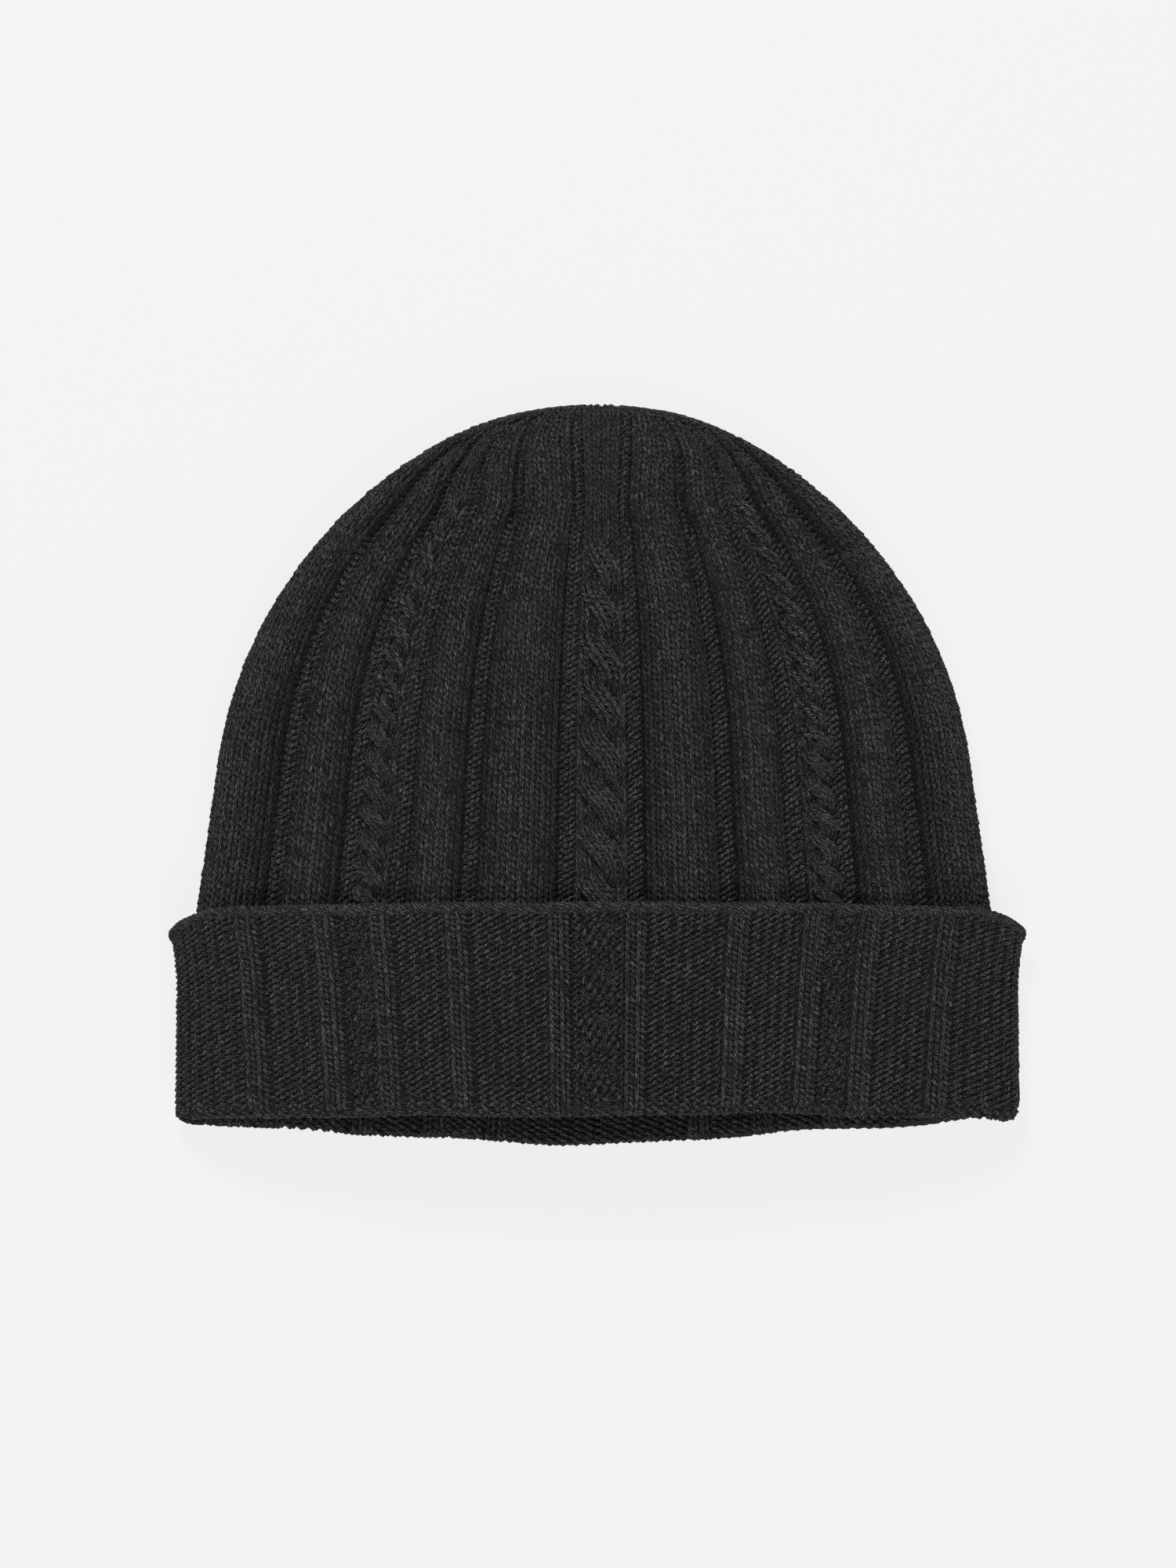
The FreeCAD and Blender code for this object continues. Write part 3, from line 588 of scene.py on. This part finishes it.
def knit_cable(skein, cable, course, wales, size, samples=10, sides=6):
    """One course of a rope cable: two strands of wales that cross over each other."""
    outward = 1 if course > LINING_END - 1 else -1
    body = course > CUFF_END
    bulge, skew, tuck = (BULGE, SKEW, TUCK) if body else (PURL_BULGE, -PURL_SKEW, 0.0)
    head, tilt = (HEAD, CABLE_TURN) if body else (PURL_HEAD, CUFF_TURN)
    rise = cable.rise * (wales / cable.wales) * (1.0 if body else CUFF_RISE_SHARE)
    half = wales // 2
    t = CABLE_EDGE + (half - 2 * CABLE_EDGE) * np.arange(half * samples + 1) / (half * samples)
    phase = 2 * np.pi * (t - np.minimum(t.astype(int), half - 1))
    wale = (t - half / 2) / half + (bulge * np.sin(2 * phase) + LEAN * np.cos(phase)) / half
    place = course - REACH * np.cos(phase) + skew * np.sin(2 * phase)
    crown = CABLE_ROUND * (1 - (2 * (t - half / 2) / half) ** 2)
    width = with_ends(blend(head, FILL * size, np.abs(np.sin(phase)) ** LEG_POWER))

    def rope_turn(spot, strand):
        """Turn of a strand round the rope."""
        return np.pi * (np.maximum(cable.rope_end - spot, 0.0) / cable.crossing + strand)

    for strand in (0, 1):
        # The strand turns with its run, so its courses stay square to it.
        spot = place + tilt * np.sin(rope_turn(place, strand)) * wale * half
        over = np.sin(rope_turn(spot, strand))
        across = -0.5 * np.cos(rope_turn(spot, strand)) + wale * (1.0 + CABLE_SPREAD * np.abs(over))
        angle = math.radians(cable.centre) + math.radians(cable.half) * across
        off = -WAVE * np.cos(2 * phase) + tuck * np.cos(phase) + rise * over + crown
        off, rope = with_ends(off, -CABLE_DIVE if body else CABLE_DIVE), with_ends(over)
        # Painted light and shade: a strand is painted lighter where it crosses over and darker where it goes
        # under.
        painted_level, more = ROPE_PAINTED_SHADE if outward > 0 else CUFF_ROPE_PAINTED_SHADE
        painted_shade = np.clip(MIDDLE + RATE * outward * (off - rise * rope), 0.0, 1.0) * (painted_level + more * rope)
        skein.fabric_yarn(with_ends(angle), with_ends(spot), np.zeros_like(off), off, width, sides, painted_shade)


# ---------------------------------------------------------------- the pieces of the fabric
def bands():
    """Courses that share a mesh, with samples to a wale and sides of the yarn: fewer in the lining."""
    for kind, marks, samples, sides in (
            ("cuff_courses", [0, 9, 18, 27, 37], 10, 6), ("lining_courses", [37, 52, 66], 8, 5),
            ("body_courses", [66, 76, 86, 96, 106, 116, 127, 139, LAST_COURSE + 1], 10, 6)):
        for number, (first, end) in enumerate(zip(marks, marks[1:]), 1):
            yield f"{kind}_{number}", range(first, end), samples, sides


pieces = {}
for name, courses, samples, sides in bands():
    skein = Skein()
    for course in courses:
        knit_course(skein, course, samples, sides)
    pieces[name] = skein.piece(name)
for cable in cable_list():
    skein = Skein()
    for course in range(LAST_COURSE + 1):
        length = strip_run(cable.centre - cable.half, cable.centre + cable.half, course)[1][-1]
        if length >= LEAST_CABLE:
            wales = int(min(cable.wales, 2 * max(1, round(length / 2 / NARROWEST))))
            knit_cable(skein, cable, course, wales, length / wales)
    name = cable.name + "_strands"
    pieces[name] = skein.piece(name)


def nap_and_shade_sheet(name, courses, around=600):
    """The soft nap between the yarns, coloured dark as painted shade of the depths there: one sheet in the
    middle of the fabric, clear of the table.
    """
    angles = np.radians(np.linspace(-180, 180, around + 1))
    rows = []
    for course in courses:
        edges, purls, _, curls = course_wales(min(course, LAST_COURSE))
        margin = NAP_STEP * np.diff(edges)
        marks = np.stack([edges[:-1] + margin, edges[1:] - margin], -1).ravel()
        level = np.interp(angles, marks, np.repeat(purls, 2))
        row = np.full(around + 1, float(course))
        rows.append(fabric_point(angles, row, level, np.interp(angles, edges, curls)))
    points = np.array(rows)
    points[..., 2] = np.maximum(points[..., 2], NAP_CLEARANCE)
    n = around + 1
    i = np.arange(len(rows) - 1)[:, None] * n
    j = np.arange(around)[None, :]
    faces = np.stack([i + j, i + j + 1, i + n + j + 1, i + n + j], -1).reshape(-1, 4)
    mesh = bpy.data.meshes.new(name)
    mesh.from_pydata((points.reshape(-1, 3) * MM).tolist(), [], faces.tolist())
    mesh.polygons.foreach_set("use_smooth", np.ones(len(faces), dtype=bool))
    return add_piece(mesh, name)


nap_and_shade_sheets = [nap_and_shade_sheet("cuff_nap_and_shade", range(CUFF_NAP_END)),
        nap_and_shade_sheet("body_nap_and_shade", [*range(BODY_NAP_START, LAST_COURSE + 1), CROWN_END - NAP_END])]


# ---------------------------------------------------------------- edge, seam and draw yarn
def cast_on_chain():
    """The cast-on edge: two yarns that wrap the first course, two turns to a wale."""
    steps, middle, reach, width, depth = 14, -0.55, 0.70, 0.75, 0.9
    # The last of these is the painted shade of the whole chain.
    drift, drift_rate, uneven, inset, painted_level = 0.12, 0.37, 0.13, 0.25, 0.7
    skein = Skein()
    edges, purls = course_wales(0)[:2]
    marks = np.arange(len(edges))
    t = np.arange(len(purls) * steps + 1) / steps
    angle = np.interp(t, marks, edges)
    level = np.interp(t, marks[:-1] + 0.5, np.clip(purls, 0, 1))
    for start in (0.0, math.pi):
        turn = 4 * np.pi * t + start
        place = middle + reach * np.cos(turn) + drift * np.sin(drift_rate * t)
        place = place + np.interp(t, marks, rng.normal(0, uneven, len(edges)))
        off = depth * np.sin(turn) - inset
        skein.fabric_yarn(angle, place, level, off, np.full(len(t), width), 6, painted_level)
    return skein.piece("cast_on_chain")


def seam_stitches():
    """The back seam: a ridge of two selvedge wales, oversewn, up the inside of the back."""
    stitch, first, spare, level = 1.7, 1.0, 1.5, 3.4
    low, high = node_box("back_seam")
    run = high[1] - low[1] - spare
    skein = Skein()
    t = np.arange(int(run / stitch) * 8 + 1) / 8
    y = low[1] + first + stitch * t
    for side in (-1, 1):
        x = side * (1.3 + 0.55 * np.cos(2 * np.pi * t))
        z = ground(y) + level + 0.55 + 0.35 * np.sin(2 * np.pi * t + side)
        skein.plain_yarn(np.stack([x, y + 0.45 * np.sin(4 * np.pi * t), z], -1), 0.7)
    t = np.arange(int(run / (2 * stitch)) * 10 + 1) / 10
    y = low[1] + first + 2 * stitch * t
    z = ground(y) + level + 0.95 + 0.3 * np.cos(4 * np.pi * t)
    skein.plain_yarn(np.stack([1.5 * np.sin(2 * np.pi * t), y, z], -1), 0.5)
    return skein.piece("seam_stitches")


def box_middle(name):
    """Middle of a CAD node's box."""
    low, high = node_box(name)
    return [(a + b) / 2 for a, b in zip(low, high)]


def draw_yarn_loop():
    """The draw yarn that closes the crown: two turns."""
    x, y, z = box_middle("crown_draw_yarn")
    t = np.linspace(0, 4 * np.pi, 73)
    radius = 2.2 + 0.25 * np.cos(1.5 * t)
    skein = Skein()
    path = [x + radius * np.cos(t), y + 0.35 * np.sin(0.5 * t), z + radius * np.sin(t)]
    skein.plain_yarn(np.stack(path, -1), 0.75)
    return skein.piece("draw_yarn_loop")


def draw_yarn_tie():
    """The draw yarn's knot, inside the crown: a trefoil."""
    x, y, z = box_middle("draw_yarn_knot")
    t = np.linspace(0.25, 2 * np.pi, 61)
    reach, loops, thick = 0.341, 1.6, 0.75
    skein = Skein()
    path = [x + reach * (np.sin(t) + loops * np.sin(2 * t)), y + thick * np.sin(3 * t),
            z + reach * (np.cos(t) - loops * np.cos(2 * t))]
    skein.plain_yarn(np.stack(path, -1), 0.7)
    return skein.piece("draw_yarn_tie")


for make in (cast_on_chain, seam_stitches, draw_yarn_loop, draw_yarn_tie):
    obj = make()
    pieces[obj.name] = obj

# ---------------------------------------------------------------- yarn materials
TWIST = 1.3                 # turns the fibres along the yarn, in radians a millimetre
PLIES = 2.5                 # half the ridges seen round it
# Painted shade and light: how dark the yarn is painted where it dives in, and how light on top.
DIVE_PAINTED_SHADE, TOP_PAINTED_LIGHT = 0.15, 1.22     # brightness of the yarn where it dives in and on top
FIBRE_DEPTH = 0.00025       # bumps, in metres
FUZZ_DEPTH = 0.0002
FUZZ_SCALE = 2500.0
DARK_WOOL, MID_WOOL, PALE_WOOL = (0.0020, 0.0019, 0.0025), (0.0108, 0.0104, 0.0123), (0.160, 0.155, 0.174)
# The nap's colours: its own wool, painted darker as the shade between the yarns.
DARK_NAP_AND_SHADE, PALE_NAP_AND_SHADE = (0.005, 0.005, 0.006), (0.030, 0.029, 0.032)
MARL_SHARE, FIBRE_SHARE, PLY_PAINTED_SHADE_SHARE, PLY_MEAN = 0.6, 0.4, 0.20, 0.64       # what makes a fleck pale


def new_material(name, roughness, specular):
    """A material with its nodes, links and shader."""
    material = bpy.data.materials.new(name)
    material.use_nodes = True
    nodes = material.node_tree.nodes
    shader = nodes["Principled BSDF"]
    shader.inputs["Roughness"].default_value = roughness
    shader.inputs["Specular IOR Level"].default_value = specular
    return material, nodes, material.node_tree.links, shader


def colour_ramp(nodes, *stops):
    """A ramp through two or more positions and their colours."""
    ramp = nodes.new("ShaderNodeValToRGB")
    elements = ramp.color_ramp.elements
    for number, (position, colour) in enumerate(stops):
        stop = elements[number] if number < 2 else elements.new(position)
        stop.position = position
        stop.color = (*colour, 1)
    return ramp


def add_bump(nodes, links, shader, height, strength, distance):
    """Bumps on the surface, from a height."""
    bump = nodes.new("ShaderNodeBump")
    bump.inputs["Strength"].default_value = strength
    bump.inputs["Distance"].default_value = distance
    links.new(height, bump.inputs["Height"])
    links.new(bump.outputs[0], shader.inputs["Normal"])


def yarn_material():
    """Marl of a dark and a pale ply, with fibres that run round the yarn as they go along it."""
    material, nodes, links, shader = new_material("charcoal_wool", 0.92, 0.12)
    shader.inputs["Sheen Weight"].default_value = 0.06
    shader.inputs["Sheen Roughness"].default_value = 0.4

    def attribute(name):
        """A value that each point of the mesh carries."""
        node = nodes.new("ShaderNodeAttribute")
        node.attribute_name = name
        return node

    parts = nodes.new("ShaderNodeSeparateXYZ")
    links.new(attribute("fibre").outputs["Vector"], parts.inputs[0])
    across_x, across_y, along_yarn = parts.outputs

    def maths(kind, a, b=None):
        """One sum, of sockets or numbers."""
        node = nodes.new("ShaderNodeMath")
        node.operation = kind
        for socket, value in ((0, a), (1, b)):
            if value is None:
                continue
            if isinstance(value, (int, float)):
                node.inputs[socket].default_value = value
            else:
                links.new(value, node.inputs[socket])
        return node.outputs[0]

    twist = maths("ADD", maths("ARCTAN2", across_y, across_x), maths("MULTIPLY", along_yarn, TWIST))
    round_x, round_y = maths("COSINE", twist), maths("SINE", twist)

    def noise(scale, stretch, detail):
        """Noise drawn out along the twisted fibres."""
        vector = nodes.new("ShaderNodeCombineXYZ")
        links.new(round_x, vector.inputs[0])
        links.new(round_y, vector.inputs[1])
        links.new(maths("MULTIPLY", along_yarn, stretch), vector.inputs[2])
        texture = nodes.new("ShaderNodeTexNoise")
        texture.inputs["Scale"].default_value = scale
        texture.inputs["Detail"].default_value = detail
        links.new(vector.outputs[0], texture.inputs["Vector"])
        return texture.outputs["Fac"]

    plies = maths("ABSOLUTE", maths("SINE", maths("MULTIPLY", twist, PLIES)))
    marl = noise(scale=1.8, stretch=0.55, detail=2.0)
    fibres = noise(scale=5.0, stretch=0.25, detail=1.0)
    mixed = maths("ADD", maths("MULTIPLY", marl, MARL_SHARE), maths("MULTIPLY", fibres, FIBRE_SHARE))
    # The plies also paint light on their crests and shade in the grooves between them, into the fleck's
    # colour.
    fleck = maths("ADD", mixed, maths("MULTIPLY", maths("SUBTRACT", plies, PLY_MEAN), PLY_PAINTED_SHADE_SHARE))
    ramp = colour_ramp(nodes, (0.30, DARK_WOOL), (0.50, MID_WOOL), (0.72, PALE_WOOL))
    links.new(fleck, ramp.inputs[0])
    # Painted shade and light: the yarn's colour is painted darker where it dives into the nap and lighter on
    # its tops, from the height attribute.
    scaled = nodes.new("ShaderNodeVectorMath")
    scaled.operation = "SCALE"
    links.new(ramp.outputs[0], scaled.inputs[0])
    painted_brightness = maths("ADD", maths("MULTIPLY", attribute("height").outputs["Fac"], TOP_PAINTED_LIGHT - DIVE_PAINTED_SHADE), DIVE_PAINTED_SHADE)
    links.new(painted_brightness, scaled.inputs["Scale"])
    links.new(scaled.outputs[0], shader.inputs["Base Color"])
    add_bump(nodes, links, shader, maths("ADD", plies, maths("MULTIPLY", fibres, 0.8)), 0.7, FIBRE_DEPTH)
    return material


def nap_and_shade_material():
    """Fine hairy nap, painted darker than the yarns as the shade of the depths between them."""
    material, nodes, links, shader = new_material("wool_nap_and_shade", 1.0, 0.05)
    place = nodes.new("ShaderNodeTexCoord")
    fuzz = nodes.new("ShaderNodeTexNoise")
    fuzz.inputs["Scale"].default_value = FUZZ_SCALE
    fuzz.inputs["Detail"].default_value = 2.0
    links.new(place.outputs["Object"], fuzz.inputs["Vector"])
    ramp = colour_ramp(nodes, (0.40, DARK_NAP_AND_SHADE), (0.68, PALE_NAP_AND_SHADE))
    links.new(fuzz.outputs["Fac"], ramp.inputs[0])
    links.new(ramp.outputs[0], shader.inputs["Base Color"])
    add_bump(nodes, links, shader, fuzz.outputs["Fac"], 0.5, FUZZ_DEPTH)
    return material


wool, nap = yarn_material(), nap_and_shade_material()
for obj in nap_and_shade_sheets:
    obj.data.materials.append(nap)
for obj in pieces.values():
    obj.data.materials.append(wool)
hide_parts("body_panel")
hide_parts("turned_cuff")
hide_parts("centre_cable")
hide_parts("cable_right")
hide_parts("cable_left")
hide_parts("cast_on_edge")
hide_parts("back_seam")
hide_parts("crown_draw_yarn")
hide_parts("draw_yarn_knot")

# ---------------------------------------------------------------- floor, light and camera, in metres
FLOOR_REACH, FLOOR_DROP = 4.0, 0.0005        # half of its side, and its depth under the hat
FLOOR_WHITE, BACKDROP_WHITE = 0.86, 0.896
BACKDROP_SHARE = 0.90                        # of the floor's own pale light, as the camera sees it
SKY = 0.40
DISTANCE = 1.8                               # of the camera from the table
VIEW_LEVEL, VIEW_HEIGHT = 0.02, 0.440        # the picture is this tall, this far above the table
VIEW_X, VIEW_Y = -0.0025, -0.00275
SENSOR = 24.0


def floor_material():
    """A floor that the camera sees mostly as an even pale backdrop, with the hat's shadow left in it."""
    material = bpy.data.materials.new("pale_floor")
    material.use_nodes = True
    nodes, links = material.node_tree.nodes, material.node_tree.links
    surface = nodes["Principled BSDF"]
    surface.inputs["Base Color"].default_value = (*[FLOOR_WHITE] * 3, 1)
    surface.inputs["Roughness"].default_value = 0.9
    rays = nodes.new("ShaderNodeLightPath")
    even = nodes.new("ShaderNodeEmission")
    even.inputs["Color"].default_value = (*[BACKDROP_WHITE] * 3, 1)
    even.inputs["Strength"].default_value = 1.0
    share = nodes.new("ShaderNodeMath")
    share.operation = "MULTIPLY"
    share.inputs[1].default_value = BACKDROP_SHARE
    mixed = nodes.new("ShaderNodeMixShader")
    links.new(rays.outputs["Is Camera Ray"], share.inputs[0])
    links.new(share.outputs[0], mixed.inputs[0])
    links.new(surface.outputs[0], mixed.inputs[1])
    links.new(even.outputs[0], mixed.inputs[2])
    links.new(mixed.outputs[0], nodes["Material Output"].inputs["Surface"])
    return material


floor_mesh = bpy.data.meshes.new("floor")
corners = [(x * FLOOR_REACH, y * FLOOR_REACH, 0) for x, y in ((-1, -1), (1, -1), (1, 1), (-1, 1))]
floor_mesh.from_pydata(corners, [], [(0, 1, 2, 3)])
floor_mesh.materials.append(floor_material())
floor = bpy.data.objects.new("floor", floor_mesh)
floor.location.z = -FLOOR_DROP
bpy.context.scene.collection.objects.link(floor)

world = bpy.data.worlds.new("studio")
bpy.context.scene.world = world
world.use_nodes = True
world.node_tree.nodes["Background"].inputs["Color"].default_value = (1, 1, 1, 1)
world.node_tree.nodes["Background"].inputs["Strength"].default_value = SKY


def add_lamp(name, place, size, watts):
    """A square lamp that shines at the hat."""
    light = bpy.data.lights.new(name, "AREA")
    light.size = size
    light.energy = watts
    obj = bpy.data.objects.new(name, light)
    obj.location = place
    obj.rotation_euler = (-Vector(place)).to_track_quat("-Z", "Y").to_euler()
    bpy.context.scene.collection.objects.link(obj)


add_lamp("key", (-0.35, 1.25, 1.45), 0.45, 21)
add_lamp("fill", (0.3, -1.2, 1.5), 1.0, 14)

camera_data = bpy.data.cameras.new("camera")
camera_data.sensor_fit = "VERTICAL"
camera_data.sensor_height = SENSOR
camera_data.lens = SENSOR * (DISTANCE - VIEW_LEVEL) / VIEW_HEIGHT
camera_data.clip_end = 20
camera = bpy.data.objects.new("camera", camera_data)
camera.location = (VIEW_X, VIEW_Y, DISTANCE)
camera.rotation_euler = (0, 0, 0)
bpy.context.scene.collection.objects.link(camera)
bpy.context.scene.camera = camera
bpy.context.scene.view_settings.view_transform = "Standard"
